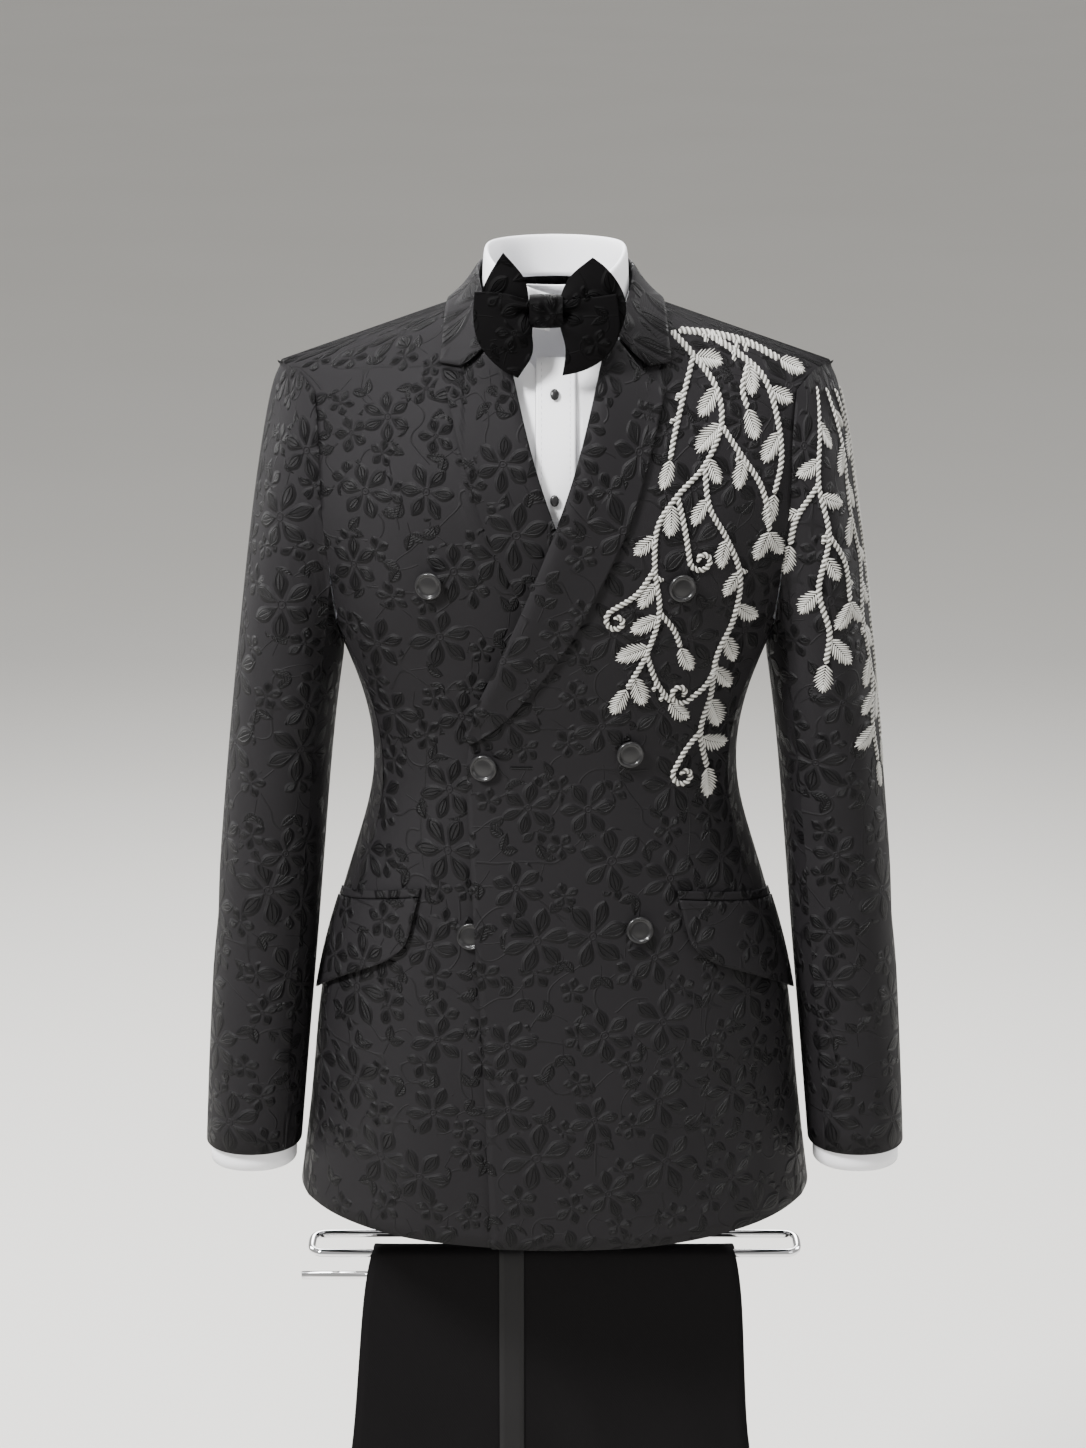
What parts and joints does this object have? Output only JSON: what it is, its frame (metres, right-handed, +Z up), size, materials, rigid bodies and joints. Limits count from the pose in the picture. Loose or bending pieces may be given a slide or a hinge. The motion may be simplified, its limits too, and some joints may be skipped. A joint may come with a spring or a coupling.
{
  "type": "tuxedo",
  "caption": "Double-breasted tuxedo jacket in its worn, hollow form, with dress shirt and bow tie, and trousers folded leg on leg over a chrome bar below the hem.",
  "frame": {"origin": "midway between the two side neck points, at the height of the shoulders", "axes": "+Z up, the wearer faces -Y, the wearer's left is +X"},
  "size_m": [0.608, 0.2657, 1.4538],
  "materials": {
    "jacquard": "black tone-on-tone floral jacquard with ivory silk embroidery on the wearer's left",
    "shirt": "smooth white cotton poplin",
    "bow": "black floral jacquard, slightly darker than the jacket",
    "trousers": "plain black fine wool",
    "satin": "black satin with a soft sheen",
    "button": "polished black with a raised rim",
    "chrome": "mirror chrome"
  },
  "bodies": {
    "root": {"bar_bracket": "chrome", "bar_loop": "chrome", "bar_rod": "chrome", "bow_back_left": "bow", "bow_back_right": "bow", "bow_band": "bow", "bow_front_left": "bow", "bow_front_right": "bow", "bow_knot": "bow", "button_fastened": "button", "button_left_lower": "button", "button_left_middle": "button", "button_left_top": "button", "button_right_lower": "button", "button_right_top": "button", "collar": "jacquard", "jacket_back_left": "jacquard", "jacket_back_right": "jacquard", "jacket_front_left": "jacquard", "jacket_front_right": "jacquard", "jacket_side_left": "jacquard", "jacket_side_right": "jacquard", "lapel_left": "jacquard", "lapel_right": "jacquard", "pocket_flap_left": "jacquard", "pocket_flap_right": "jacquard", "pocket_jet_left": "jacquard", "pocket_jet_right": "jacquard", "shirt_back": "shirt", "shirt_collar": "shirt", "shirt_cuff_left": "shirt", "shirt_cuff_right": "shirt", "shirt_front_left": "shirt", "shirt_front_right": "shirt", "shirt_placket": "shirt", "shirt_sleeve_left": "shirt", "shirt_sleeve_right": "shirt", "sleeve_top_left": "jacquard", "sleeve_top_right": "jacquard", "sleeve_under_left": "jacquard", "sleeve_under_right": "jacquard", "stud_lower": "button", "stud_upper": "button", "trousers_back_panel": "trousers", "trousers_front_panel": "trousers", "trousers_inner_layers": "trousers", "trousers_stripe": "satin", "trousers_waistband": "trousers"}
  },
  "joints": []
}
